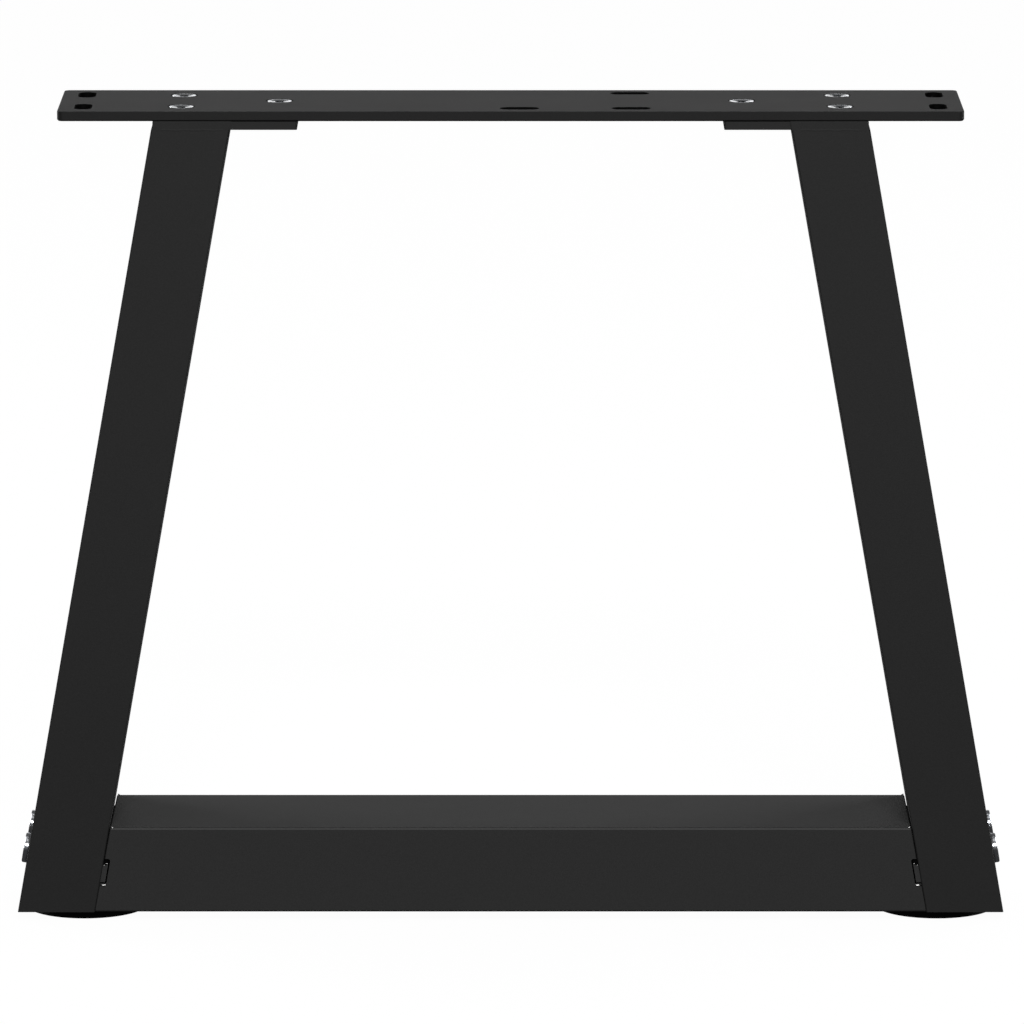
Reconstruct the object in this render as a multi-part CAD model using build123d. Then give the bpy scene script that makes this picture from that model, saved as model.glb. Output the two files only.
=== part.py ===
from build123d import *
import os
from math import cos, radians, sin, tan

# Coffee table leg: a mounting plate on two leaning tubes, joined near the floor by a bolted beam.
# Millimetres, X along the width, Y along the depth (front at -Y), Z up, floor at Z = 0.

# Overall frame
total_height = 420.0
base_width = 506.0
frame_depth = 80.0
lean_deg = 10.0
leg_bottom_z = 5.5

# Mounting plate and its slots for the table top's screws
plate_length = 458.0
plate_thickness = 5.0
plate_corner_r = 3.0
plate_top_chamfer = 0.25
plate_bottom_chamfer = 0.7
slot_width = 9.0
slot_length = 20.0
end_slot_inset = 12.5
end_slot_spacing = 44.0
middle_slot_spacing = 56.0
near_slot_x = 4.5
far_slot_x = 61.0

# Leg tubes
tube_width = 39.0
tube_wall = 1.5
tube_corner_r = 0.8

# Flanges on top of the legs
flange_thickness = 4.5
flange_length = 72.9
flange_setback = 1.0
flange_corner_r = 1.0
flange_edge_chamfer = 0.4

# Countersunk screws through the plate into the flanges
screw_d = 6.0
screw_length = 8.0
screw_head_d = 13.0
screw_recess = 0.5
screw_hole_clearance = 0.6
screw_thread_clearance = 0.1
screw_outer_inset = 13.9
screw_inner_inset = 9.7
screw_spacing = 41.6
hex_key = 4.0
screw_socket_depth = 2.4

# Floor beam with its end plates
beam_height = 44.3
beam_setback = 0.5
beam_wall = 1.5
beam_corner_r = 1.2
beam_gap_low = 0.1
beam_gap_high = 0.4
notch_height = 14.3
notch_width = 3.0
notch_corner_r = 1.2
notch_drop = 1.4
end_plate_thickness = 2.5
end_plate_top_gap = 4.0
tab_height = 9.0
tab_drop = 2.0
tab_recess = 0.4

# Bolts through the legs into the weld nuts behind the end plates
bolt_d = 6.0
bolt_length = 50.0
bolt_head_d = 15.3
bolt_head_h = 2.7
bolt_head_chamfer = 0.5
bolt_hole_clearance = 0.6
bolt_socket_depth = 2.2
bolt_spacing = 54.0
bolt_rise = 1.9
nut_flats = 10.0
nut_height = 5.0
nut_thread_clearance = 0.1

# Levelling feet
foot_d = 62.0
foot_gap = 0.3
foot_rim_chamfer = 1.4
foot_block_thickness = 8.0
stud_d = 8.0
stud_thread_clearance = 0.1
stud_wall_gap = 0.3
stud_reach = 24.5
stud_base_d = 16.0
stud_base_h = 2.0
stud_floor = 1.6

# Derived values
lean = radians(lean_deg)
slope = tan(lean)
tube_run = tube_width / cos(lean)
wall_run = tube_wall / cos(lean)
plate_bottom_z = total_height - plate_thickness
flange_bottom_z = plate_bottom_z - flange_thickness
beam_depth = frame_depth - 2 * beam_setback
beam_mid_z = leg_bottom_z + beam_height / 2
beam_top_z = leg_bottom_z + beam_height
beam_gap_mid = (beam_gap_low + beam_gap_high) / 2
leg_axis = Vector(sin(lean), 0, cos(lean))
inward = Vector(cos(lean), 0, -sin(lean))


def outer_x(z):
    """X of the left leg's outer face at height z."""
    return -base_width / 2 + (z - leg_bottom_z) * slope


def inner_x(z):
    """X of the left leg's inner face at height z."""
    return outer_x(z) + tube_run


bolt_z = beam_mid_z + bolt_rise + tube_width * sin(lean)
bolt_ys = (-bolt_spacing / 2, bolt_spacing / 2)
stud_tap_d = stud_d + stud_thread_clearance
foot_x = inner_x(leg_bottom_z) - wall_run - stud_wall_gap - stud_tap_d / 2
foot_top_z = leg_bottom_z - foot_gap
flange_start_x = outer_x(plate_bottom_z)
flange_end_x = flange_start_x + flange_length
screw_spots = (
    (flange_start_x + screw_outer_inset, -screw_spacing / 2),
    (flange_start_x + screw_outer_inset, screw_spacing / 2),
    (flange_end_x - screw_inner_inset, 0),
)


def slab(z_low, z_high):
    """A wide block between two heights."""
    block = Box(2 * base_width, 3 * frame_depth, z_high - z_low)
    return block.translate((0, 0, (z_low + z_high) / 2))


def leaning_bar(section, z_low, z_high):
    """A solid bar of a given section along the left leg, cut level at both ends."""
    z_mid = (z_low + z_high) / 2
    centre = Vector(outer_x(z_mid) + tube_run / 2, 0, z_mid)
    plane = Plane(origin=centre, x_dir=inward, z_dir=leg_axis)
    bar = extrude(plane * section, amount=(z_high - z_low) / 2 + 2 * tube_width, both=True)
    return bar & slab(z_low, z_high)


def tube_inside():
    """The clear section inside a leg tube."""
    return Rectangle(tube_width - 2 * tube_wall, frame_depth - 2 * tube_wall)


def leaning_slab(start, thickness):
    """A tall plate parallel to the left leg, starting a given distance past its inner face."""
    origin = Vector(inner_x(beam_mid_z), 0, beam_mid_z) + inward * (start + thickness / 2)
    plane = Plane(origin=origin, x_dir=leg_axis, z_dir=inward)
    return extrude(plane * Rectangle(4 * beam_height, 2 * frame_depth), amount=thickness / 2, both=True)


def bolt_plane(y):
    """Work plane on the left leg's outer face at a bolt, pointing into the leg."""
    return Plane(origin=Vector(outer_x(bolt_z), y, bolt_z), x_dir=leg_axis, z_dir=inward)


def bolt_drill(y):
    """A long round cutter along a bolt's axis."""
    hole = Circle((bolt_d + bolt_hole_clearance) / 2)
    return extrude(bolt_plane(y) * hole, amount=2 * tube_width, both=True)


def upright(x, y, z_low, z_high, diameter):
    """An upright cylinder between two heights."""
    cylinder = Cylinder(diameter / 2, z_high - z_low)
    return cylinder.translate((x, y, (z_low + z_high) / 2))


def sunk_cone(x, y, z_top, d_top, d_low):
    """A 90 degree cone narrowing downward from z_top."""
    height = (d_top - d_low) / 2
    cone = Cone(d_low / 2, d_top / 2, height)
    return cone.translate((x, y, z_top - height / 2))


def hexagon(flats):
    """A hexagon given by the distance across its flats."""
    return RegularPolygon(flats / 2, 6, major_radius=False)


def right_of(part):
    """The right-hand twin of a left-hand piece."""
    return mirror(part, about=Plane.YZ)


def group(solids):
    """Separate solids of one kind in a single node."""
    return Compound(children=list(solids))


def make_leg_tube():
    outline = RectangleRounded(tube_width, frame_depth, tube_corner_r)
    tube = leaning_bar(outline, leg_bottom_z, flange_bottom_z)
    tube -= leaning_bar(tube_inside(), leg_bottom_z - tube_width, total_height)
    for y in bolt_ys:
        tube -= bolt_drill(y)
    return tube


def make_foot_block():
    block_top_z = leg_bottom_z + foot_block_thickness
    block = leaning_bar(tube_inside(), leg_bottom_z, block_top_z)
    return block - upright(foot_x, 0, 0, 2 * block_top_z, stud_tap_d)


def make_top_flange():
    step_top_x = inner_x(plate_bottom_z)
    step_low_x = inner_x(flange_bottom_z)
    with BuildPart() as head:
        with BuildSketch(Plane.XZ):
            with BuildLine():
                Polyline((flange_start_x, flange_bottom_z), (flange_start_x, plate_bottom_z),
                         (step_top_x, plate_bottom_z), (step_low_x, flange_bottom_z), close=True)
            make_face()
        extrude(amount=frame_depth / 2, both=True)
    tongue_mid_x = (step_low_x + flange_end_x) / 2
    tongue_depth = frame_depth - 2 * flange_setback
    tongue = Rectangle(flange_end_x - step_low_x, tongue_depth).moved(Location((tongue_mid_x, 0)))
    tongue = fillet(tongue.vertices().group_by(Axis.X)[-1], flange_corner_r)
    tongue = extrude(Plane.XY.offset(flange_bottom_z) * tongue, amount=flange_thickness)
    top_rim = head.edges().group_by(Axis.Z)[-1]
    sides = top_rim.filter_by(Axis.X) + top_rim.filter_by(Axis.Y).sort_by(Axis.X)[0]
    tongue_rim = tongue.edges().group_by(Axis.Z)[-1]
    flange = chamfer(sides, flange_edge_chamfer) + chamfer(tongue_rim, flange_edge_chamfer)
    for x, y in screw_spots:
        flange -= upright(x, y, 0, total_height, screw_d + screw_thread_clearance)
    return flange


def make_top_plate():
    outline = RectangleRounded(plate_length, frame_depth, plate_corner_r)
    plate = extrude(Plane.XY.offset(plate_bottom_z) * outline, amount=plate_thickness)
    plate = chamfer(plate.edges().group_by(Axis.Z)[-1], plate_top_chamfer)
    plate = chamfer(plate.edges().group_by(Axis.Z)[0], plate_bottom_chamfer)
    end_slot_x = plate_length / 2 - end_slot_inset
    spots = [(near_slot_x, -middle_slot_spacing / 2, 0)]
    spots += [(far_slot_x, y, 0) for y in (-middle_slot_spacing / 2, middle_slot_spacing / 2)]
    spots += [(x, y, 90) for x in (-end_slot_x, end_slot_x) for y in (-end_slot_spacing / 2, end_slot_spacing / 2)]
    for x, y, turn in spots:
        slot = Location((x, y, 0), (0, 0, turn)) * SlotOverall(slot_length, slot_width)
        plate -= extrude(slot, amount=2 * total_height)
    hole_d = screw_d + screw_hole_clearance
    for x, y in screw_spots:
        for side_x in (x, -x):
            plate -= upright(side_x, y, 0, 2 * total_height, hole_d)
            plate -= sunk_cone(side_x, y, total_height, screw_head_d + 2 * screw_recess, hole_d)
    return plate


def make_plate_screw(x, y):
    z_top = total_height - screw_recess
    screw = sunk_cone(x, y, z_top, screw_head_d, screw_d)
    shank_top_z = z_top - (screw_head_d - screw_d) / 2
    screw += upright(x, y, z_top - screw_length, shank_top_z, screw_d)
    socket = Plane.XY.offset(z_top) * Pos(x, y) * hexagon(hex_key)
    return screw - extrude(socket, amount=-screw_socket_depth)


def beam_inside():
    """The clear section inside the beam."""
    return Rectangle(beam_depth - 2 * beam_wall, beam_height - 2 * beam_wall)


def beam_plane(x):
    """Upright work plane across the beam at a given X."""
    return Plane(origin=(x, 0, beam_mid_z), x_dir=(0, 1, 0), z_dir=(1, 0, 0))


def end_trim():
    """What is cut off the beam's left end, so that the end meets the leg at its foot and gapes a little above."""
    low = Vector(inner_x(leg_bottom_z) + beam_gap_low / cos(lean), leg_bottom_z)
    high = Vector(inner_x(beam_top_z) + beam_gap_high / cos(lean), beam_top_z)
    rise = high - low
    with BuildPart() as trim:
        with BuildSketch(Plane.XZ):
            with BuildLine():
                Polyline(low - rise, high + rise, (-2 * base_width, (high + rise).Y),
                         (-2 * base_width, (low - rise).Y), close=True)
            make_face()
        extrude(amount=frame_depth, both=True)
    return trim.part


def make_floor_beam():
    section = RectangleRounded(beam_depth, beam_height, beam_corner_r) - beam_inside()
    beam = extrude(beam_plane(0) * section, amount=base_width / 2, both=True)
    trim = end_trim()
    notch_mid_z = beam_mid_z - notch_drop
    notch = leaning_slab(beam_gap_mid - notch_width, 2 * notch_width)
    notch &= slab(notch_mid_z - notch_height / 2, notch_mid_z + notch_height / 2)
    notch = fillet(notch.edges().filter_by(Axis.Y), notch_corner_r)
    for cutter in (trim, notch):
        beam -= cutter
        beam -= right_of(cutter)
    return beam


def make_end_plate():
    x = inner_x(beam_mid_z)
    section = beam_inside() & beam_inside().moved(Location((0, -end_plate_top_gap)))
    blank = extrude(beam_plane(x) * section, amount=tube_width, both=True)
    tab = Box(2 * tube_width, beam_depth - 2 * tab_recess, tab_height)
    blank += tab.translate((x, 0, beam_mid_z - tab_drop))
    plate = blank & leaning_slab(0, end_plate_thickness)
    for y in bolt_ys:
        plate -= bolt_drill(y)
    return plate


def make_beam_bolt(y):
    plane = bolt_plane(y)
    head = extrude(plane * Circle(bolt_head_d / 2), amount=-bolt_head_h)
    rims = head.edges().filter_by(GeomType.CIRCLE).sort_by(Axis.X)
    head = chamfer(rims[0], bolt_head_chamfer)
    bolt = head + extrude(plane * Circle(bolt_d / 2), amount=bolt_length)
    face = plane.offset(-bolt_head_h)
    return bolt - extrude(face * hexagon(hex_key), amount=bolt_socket_depth)


def make_beam_nut(y):
    seat = bolt_plane(y).offset(tube_width + end_plate_thickness)
    outline = hexagon(nut_flats) - Circle((bolt_d + nut_thread_clearance) / 2)
    return extrude(seat * outline, amount=nut_height)


def make_foot_stud():
    stud = upright(foot_x, 0, stud_floor, leg_bottom_z + stud_reach, stud_d)
    return stud + upright(foot_x, 0, stud_floor, stud_floor + stud_base_h, stud_base_d)


def make_foot_pad():
    pad = upright(foot_x, 0, 0, foot_top_z, foot_d)
    pad = chamfer(pad.edges().group_by(Axis.Z)[-1], foot_rim_chamfer)
    pad -= upright(foot_x, 0, stud_floor, 2 * foot_top_z, stud_d)
    return pad - upright(foot_x, 0, stud_floor, stud_floor + stud_base_h, stud_base_d)


left = {
    "leg_tube": [make_leg_tube()],
    "top_flange": [make_top_flange()],
    "plate_screws": [make_plate_screw(x, y) for x, y in screw_spots],
    "foot_block": [make_foot_block()],
    "beam_end_plate": [make_end_plate()],
    "beam_nuts": [make_beam_nut(y) for y in bolt_ys],
    "beam_bolts": [make_beam_bolt(y) for y in bolt_ys],
    "foot_stud": [make_foot_stud()],
    "foot_pad": [make_foot_pad()],
}

nodes = {"top_plate": make_top_plate(), "floor_beam": make_floor_beam()}
for name, solids in left.items():
    twins = [right_of(solid) for solid in solids]
    nodes[f"left_{name}"] = group(solids) if len(solids) > 1 else solids[0]
    nodes[f"right_{name}"] = group(twins) if len(twins) > 1 else twins[0]

os.makedirs("parts", exist_ok=True)
for name, shape in nodes.items():
    shape.label = name
    export_step(shape, f"parts/{name}.step")
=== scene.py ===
"""Looks of a trapezoid steel coffee table leg: powder coat, welds, threaded fasteners and levelling feet."""

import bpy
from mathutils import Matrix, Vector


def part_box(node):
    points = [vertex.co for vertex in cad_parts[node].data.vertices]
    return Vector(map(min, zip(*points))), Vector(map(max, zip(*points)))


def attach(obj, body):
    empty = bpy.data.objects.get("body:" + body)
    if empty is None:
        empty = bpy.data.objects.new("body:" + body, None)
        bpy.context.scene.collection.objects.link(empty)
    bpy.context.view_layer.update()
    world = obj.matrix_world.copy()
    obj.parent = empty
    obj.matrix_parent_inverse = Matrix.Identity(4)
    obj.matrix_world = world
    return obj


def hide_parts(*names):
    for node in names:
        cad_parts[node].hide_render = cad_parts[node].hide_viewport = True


bl_info = {
    "name": "Coffee Table Leg",
    "version": (1, 0, 0),
    "blender": (4, 5, 0),
    "location": "3D View > Sidebar > Table Leg",
    "description": "Dresses the packed steel leg frame with its finishes, welds, fasteners and feet",
    "category": "Object",
}

from math import ceil, cos, floor, hypot, pi, radians, sin, tan

import bmesh
import bpy
from bpy.props import FloatProperty, FloatVectorProperty, PointerProperty
from mathutils import Matrix, Vector

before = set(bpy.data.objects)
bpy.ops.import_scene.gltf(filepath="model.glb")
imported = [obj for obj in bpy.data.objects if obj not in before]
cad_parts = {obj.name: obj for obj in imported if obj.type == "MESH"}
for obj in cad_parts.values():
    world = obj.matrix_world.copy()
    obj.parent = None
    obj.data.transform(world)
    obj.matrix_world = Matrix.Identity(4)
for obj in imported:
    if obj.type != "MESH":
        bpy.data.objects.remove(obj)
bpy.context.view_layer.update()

MM = 0.001
SIDES = ("left", "right")
COATED_NODES = ["top_plate"]
COATED_NODES += [f"{side}_{piece}" for side in SIDES
                 for piece in ("leg_tube", "top_flange", "foot_block", "beam_end_plate")]
LEG_BOXES = {side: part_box(f"{side}_leg_tube") for side in SIDES}
SMOOTH_ANGLE = radians(38)
FACING = 0.9
MERGE_DISTANCE = 1e-4
ROUND_SIDES = 60
FOOT_SIDES = 120
SENSOR_WIDTH = 36
CLIP_END = 100
WHITE = (1, 1, 1, 1)
NOISE_LOW, NOISE_HIGH = 0.3, 0.7

# Name, power setting, width and height, place and aim of each light, in metres
LIGHTS = (
    ("top_light", "top_power", (2.2, 1.6), (-0.1, -0.15, 2.4), (0, 0, 0.3)),
    ("front_light", "front_power", (1.8, 0.8), (0.35, -4.6, 3.2), (0, 0, 0.2)),
    ("back_light", "back_power", (3.0, 0.8), (0, 5.0, 1.05), (0, 0, 1.05)),
    ("left_light", "side_power", (2.0, 2.0), (-3.4, 2.0, 1.2), (0, 0, 0.2)),
    ("right_light", "side_power", (2.0, 2.0), (3.4, 2.0, 1.2), (0, 0, 0.2)),
)

# Input of each noise group, with the scale and detail of its outputs
NOISES = {
    "Fine Grain": ("Grains per metre", {"Height": (1.0, 1.5), "Speckle": (2.3, 3.0)}),
    "Finish Drift": ("Patches per metre", {"Drift": (1.0, 4.0)}),
}

# Share of the coat's colour, gloss and roughness of each kind of coat, where the darker copies paint shade
# and the lighter ones paint light
COATS = {
    "powder_coat_black": (1.0, 0.38, 0.56),
    # Painted shade: near-black copy for the walls of slots, holes and notches and the faces behind the tabs
    "powder_coat_in_slots": (0.1, 0.05, 0.56),
    # Painted light: lighter copy for the tabs' ends in the notches
    "powder_coat_on_tabs": (2.0, 0.38, 0.56),
    # Painted shade: darker copy for the plate's outer cut edges
    "powder_coat_on_cut_edges": (0.75, 0.3, 0.56),
    # Painted light: lighter copy for the floor beam
    "powder_coat_on_beam": (1.85, 0.28, 0.66),
    # Painted light: the beam's lighter copy, glossier on its rounded edges
    "powder_coat_on_corners": (1.85, 0.36, 0.58),
}

# Share of the zinc's colour outside sockets, and inside them, where the darkened copy paints shade
PLATINGS = {"zinc_plate_bright": 1.0, "zinc_plate_in_sockets": 0.04}

# Ends of each bright metal bead that paints a highlight on a tab: distance past the leg and height above the
# tab's edge, in millimetres
TAB_BEADS = (((0.3, -0.3), (1.0, -0.2)), ((1.7, 1.0), (2.45, 0.1)))

# Ends of the bright metal bead that paints a highlight on a beam's corner: distance past the leg, inset and
# height above the beam, in millimetres
CORNER_BEAD = ((0.6, 0.6, 0.35), (2.0, 0.25, -0.15))

# Reach, in metres, and rate of the waves along a dressed seam
SEAM_WAVES = ((0.12 * MM, 640), (0.07 * MM, 1730))

# Breaks of a 60 degree thread over one pitch
CREST_END = 1 / 8
ROOT_START = 7 / 16
ROOT_END = 11 / 16
THREAD_BREAKS = (0.0, CREST_END, ROOT_START, ROOT_END)


def length_prop(name, description, millimetres):
    """A length that a user can set, with its default in millimetres."""
    return FloatProperty(name=name, description=description, unit="LENGTH", default=millimetres * MM)


def power_prop(name, description, watts):
    """A light's power that a user can set."""
    return FloatProperty(name=name, description=description, unit="POWER", default=watts)


class StageSettings(bpy.types.PropertyGroup):
    """Camera, floor and light."""

    camera_place: FloatVectorProperty(
        name="Camera place", description="Where the camera stands", subtype="TRANSLATION", unit="LENGTH",
        default=(0.0007, -4.3395, 1.0185))
    camera_pitch: FloatProperty(
        name="Camera pitch", description="How far the camera looks down", subtype="ANGLE",
        default=radians(10.592))
    camera_lens: FloatProperty(
        name="Lens", description="Focal length on a 36 mm sensor", unit="CAMERA", default=302.2)
    floor_width: FloatProperty(
        name="Floor width", description="Side of the square floor", unit="LENGTH", default=40.0)
    floor_glow: FloatProperty(
        name="Floor glow", description="How far the floor is lit to white by itself", default=0.97)
    floor_shade: FloatProperty(
        name="Floor shade", description="Share of the light that shadows on the floor can take away",
        default=0.04)
    floor_bounce: FloatProperty(
        name="Floor bounce", description="Dim light that the floor throws back at the part", default=0.04)
    room_light: FloatProperty(
        name="Room light", description="Dim light from all round the studio", default=0.1)
    top_power: power_prop("Top light", "Power of the soft light overhead", 6.0)
    front_power: power_prop("Front light", "Power of the soft light above the camera", 206.0)
    back_power: power_prop("Back light", "Power of the lit backdrop behind the part", 8.0)
    side_power: power_prop("Side lights", "Power of the soft light behind each side", 85.0)


class FinishSettings(bpy.types.PropertyGroup):
    """Colours of the finishes and grain of the coat."""

    coat_colour: FloatVectorProperty(
        name="Coat colour", description="Black of the powder coat", subtype="COLOR", size=3,
        default=(0.015, 0.015, 0.015))
    coat_grain: length_prop("Coat grain", "Size of the powder coat's grain", 0.7)
    zinc_colour: FloatVectorProperty(
        name="Zinc colour", description="Bright zinc of the fasteners", subtype="COLOR", size=3,
        default=(0.84, 0.85, 0.86))
    plastic_colour: FloatVectorProperty(
        name="Plastic colour", description="Black of the moulded feet", subtype="COLOR", size=3,
        default=(0.006, 0.006, 0.006))


class FastenerSettings(bpy.types.PropertyGroup):
    """Lean of the legs and sizes of the fasteners."""

    lean: FloatProperty(
        name="Lean", description="Lean of the legs from upright", subtype="ANGLE", default=radians(10))
    hex_key: length_prop("Hex key", "Width of the sockets across their flats", 4)
    screw_head: length_prop("Screw head", "Diameter of the plate screws' heads", 13)
    screw_rise: length_prop("Screw rise", "How far the plate screws' heads stand up in their recesses", 0.42)
    bolt_length: length_prop("Bolt length", "Length of the beam bolts under the head", 50)
    bolt_head: length_prop("Bolt head", "Diameter of the beam bolts' heads", 15.3)
    thread_pitch: length_prop("Screw pitch", "Thread pitch of the screws and bolts", 1)
    stud_pitch: length_prop("Stud pitch", "Thread pitch of the foot studs", 1.25)


class WeldSettings(bpy.types.PropertyGroup):
    """Sizes of the welds."""

    leg: length_prop("Weld leg", "Leg of the small fillet weld under each flange", 0.6)
    ripple: length_prop("Ripple pitch", "Distance between the weld's ripples", 1.7)
    seam_width: length_prop("Seam width", "Width of the dressed seam on each leg's front and back", 1.6)
    seam_rise: length_prop("Seam rise", "How far the dressed seam stands proud", 0.045)


class EndDetailSettings(bpy.types.PropertyGroup):
    """Sizes at the ends of the floor beam, with the bright metal beads there that paint highlights."""

    notch_height: length_prop("Notch height", "Height of the notch beside each seam", 14.3)
    notch_width: length_prop("Notch width", "Width of the notch from the leg to its wall", 3.25)
    notch_drop: length_prop("Notch drop", "How far the notch sits below the beam's middle", 1.4)
    tab_height: length_prop("Tab height", "Height of the end plates' tabs", 9)
    tab_drop: length_prop("Tab drop", "How far the tabs sit below the beam's middle", 2)
    tab_recess: length_prop("Tab recess", "How far the tabs end below the beam's face", 0.4)
    # The lip, corner bead and tab beads are bright metal beads that paint highlights on the coat
    lip: length_prop("Lip", "Thickness of the bare lip under each notch", 1.1)
    end_round: length_prop("End round", "Rounding of the beam's slanted ends", 0.7)
    corner_bead: length_prop("Burr", "Thickness of the bare burr on the beam's end corners", 0.6)
    bead: length_prop("Bead", "Thickness of the bare beads on the tabs' upper edges", 0.7)


class TableLegSettings(bpy.types.PropertyGroup):
    """All settings of the table leg."""

    stage: PointerProperty(type=StageSettings)
    finish: PointerProperty(type=FinishSettings)
    fastener: PointerProperty(type=FastenerSettings)
    weld: PointerProperty(type=WeldSettings)
    end_detail: PointerProperty(type=EndDetailSettings)


def noise_group(name):
    """A node group of noises on the object's own coordinates, one of those listed above."""
    if name in bpy.data.node_groups:
        return bpy.data.node_groups[name]
    label, noises = NOISES[name]
    group = bpy.data.node_groups.new(name, "ShaderNodeTree")
    group.interface.new_socket(label, in_out="INPUT", socket_type="NodeSocketFloat")
    for output in noises:
        group.interface.new_socket(output, in_out="OUTPUT", socket_type="NodeSocketFloat")
    given = group.nodes.new("NodeGroupInput")
    result = group.nodes.new("NodeGroupOutput")
    place = group.nodes.new("ShaderNodeTexCoord")
    scaled = group.nodes.new("ShaderNodeVectorMath")
    scaled.operation = "SCALE"
    group.links.new(place.outputs["Object"], scaled.inputs["Vector"])
    group.links.new(given.outputs[label], scaled.inputs["Scale"])
    for output, (scale, detail) in noises.items():
        noise = group.nodes.new("ShaderNodeTexNoise")
        noise.inputs["Scale"].default_value = scale
        noise.inputs["Detail"].default_value = detail
        group.links.new(scaled.outputs["Vector"], noise.inputs["Vector"])
        group.links.new(noise.outputs["Fac"], result.inputs[output])
    return group


def place_noise(tree, name, per_metre):
    """A noise group placed in a material, with its scale."""
    node = tree.nodes.new("ShaderNodeGroup")
    node.node_tree = noise_group(name)
    node.inputs[0].default_value = per_metre
    return node


def noise_range(tree, noise, low, high):
    """A noise value brought to a range."""
    node = tree.nodes.new("ShaderNodeMapRange")
    limits = {"From Min": NOISE_LOW, "From Max": NOISE_HIGH, "To Min": low, "To Max": high}
    for label, number in limits.items():
        node.inputs[label].default_value = number
    tree.links.new(noise, node.inputs["Value"])
    return node.outputs["Result"]


def shade_mix(tree, factor, dark, light):
    """A colour between two shades."""
    mix = tree.nodes.new("ShaderNodeMix")
    mix.data_type = "RGBA"
    mix.inputs[6].default_value = (*dark, 1)
    mix.inputs[7].default_value = (*light, 1)
    tree.links.new(factor, mix.inputs[0])
    return mix.outputs[2]


def scaled_colour(colour, share):
    """A colour made darker or lighter."""
    return tuple(channel * share for channel in colour)


def new_material(name):
    """A new material with its node tree and shader."""
    material = bpy.data.materials.new(name)
    material.use_nodes = True
    return material, material.node_tree, material.node_tree.nodes["Principled BSDF"]


def link_finish(tree, shader, tint, sheen):
    """Links a colour and a roughness to a shader."""
    tree.links.new(tint, shader.inputs["Base Color"])
    tree.links.new(sheen, shader.inputs["Roughness"])


def add_bump(tree, shader, height, distance):
    """Bump of a true depth on a shader."""
    bump = tree.nodes.new("ShaderNodeBump")
    bump.inputs["Distance"].default_value = distance
    bump.inputs["Strength"].default_value = 1.0
    tree.links.new(height, bump.inputs["Height"])
    tree.links.new(bump.outputs["Normal"], shader.inputs["Normal"])


def mix_shaders(tree, factor, first, second):
    """The first shader where the factor is 0, and the second where it is 1."""
    mix = tree.nodes.new("ShaderNodeMixShader")
    tree.links.new(factor, mix.inputs["Fac"])
    tree.links.new(first, mix.inputs[1])
    tree.links.new(second, mix.inputs[2])
    return mix.outputs["Shader"]


def powder_coat(name="powder_coat_black"):
    """Satin black powder coat with a fine even grain, of one of the kinds listed above."""
    if name in bpy.data.materials:
        return bpy.data.materials[name]
    share, gloss, roughness = COATS[name]
    uneven = 0.012
    finish = bpy.context.scene.table_leg.finish
    material, tree, shader = new_material(name)
    colour = scaled_colour(finish.coat_colour, share)
    grain = place_noise(tree, "Fine Grain", 1 / finish.coat_grain)
    drift = place_noise(tree, "Finish Drift", 28.0)
    speckle = noise_range(tree, grain.outputs["Speckle"], 0.0, 1.0)
    tint = shade_mix(tree, speckle, scaled_colour(colour, 0.7), scaled_colour(colour, 1.3))
    sheen = noise_range(tree, drift.outputs["Drift"], roughness - uneven, roughness + uneven)
    link_finish(tree, shader, tint, sheen)
    shader.inputs["Specular IOR Level"].default_value = gloss
    add_bump(tree, shader, grain.outputs["Height"], 0.02 * MM)
    return material


def zinc_plate(name="zinc_plate_bright"):
    """Bright zinc plate with turning marks round each fastener's axis, or a darkened copy of it that paints
    shade inside sockets.
    """
    if name in bpy.data.materials:
        return bpy.data.materials[name]
    finish = bpy.context.scene.table_leg.finish
    material, tree, shader = new_material(name)
    colour = scaled_colour(finish.zinc_colour, PLATINGS[name])
    shader.inputs["Metallic"].default_value = 1.0
    drift = place_noise(tree, "Finish Drift", 260.0)
    grain = place_noise(tree, "Fine Grain", 5000.0)
    cloud = noise_range(tree, drift.outputs["Drift"], 0.0, 1.0)
    blue = (colour[0] * 0.82, colour[1] * 0.86, colour[2] * 0.92)
    sheen = noise_range(tree, grain.outputs["Speckle"], 0.1, 0.2)
    link_finish(tree, shader, shade_mix(tree, cloud, blue, colour), sheen)
    turned = tree.nodes.new("ShaderNodeAttribute")
    turned.attribute_name = "turned"
    marks = tree.nodes.new("ShaderNodeTexNoise")
    marks.noise_dimensions = "2D"
    marks.inputs["Scale"].default_value = 5500.0
    marks.inputs["Detail"].default_value = 2.0
    tree.links.new(turned.outputs["Vector"], marks.inputs["Vector"])
    add_bump(tree, shader, marks.outputs["Fac"], 0.006 * MM)
    return material


def highlight_metal():
    """Bright ground-steel metal for the beads that paint highlights on the coat."""
    name = "bare_steel_edge"
    if name in bpy.data.materials:
        return bpy.data.materials[name]
    material, tree, shader = new_material(name)
    colour = (0.62, 0.62, 0.61)
    shader.inputs["Metallic"].default_value = 1.0
    grain = place_noise(tree, "Fine Grain", 4000.0)
    drift = place_noise(tree, "Finish Drift", 300.0)
    cloud = noise_range(tree, drift.outputs["Drift"], 0.0, 1.0)
    sheen = noise_range(tree, grain.outputs["Speckle"], 0.32, 0.45)
    link_finish(tree, shader, shade_mix(tree, cloud, scaled_colour(colour, 0.7), colour), sheen)
    add_bump(tree, shader, grain.outputs["Height"], 0.01 * MM)
    return material


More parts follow.
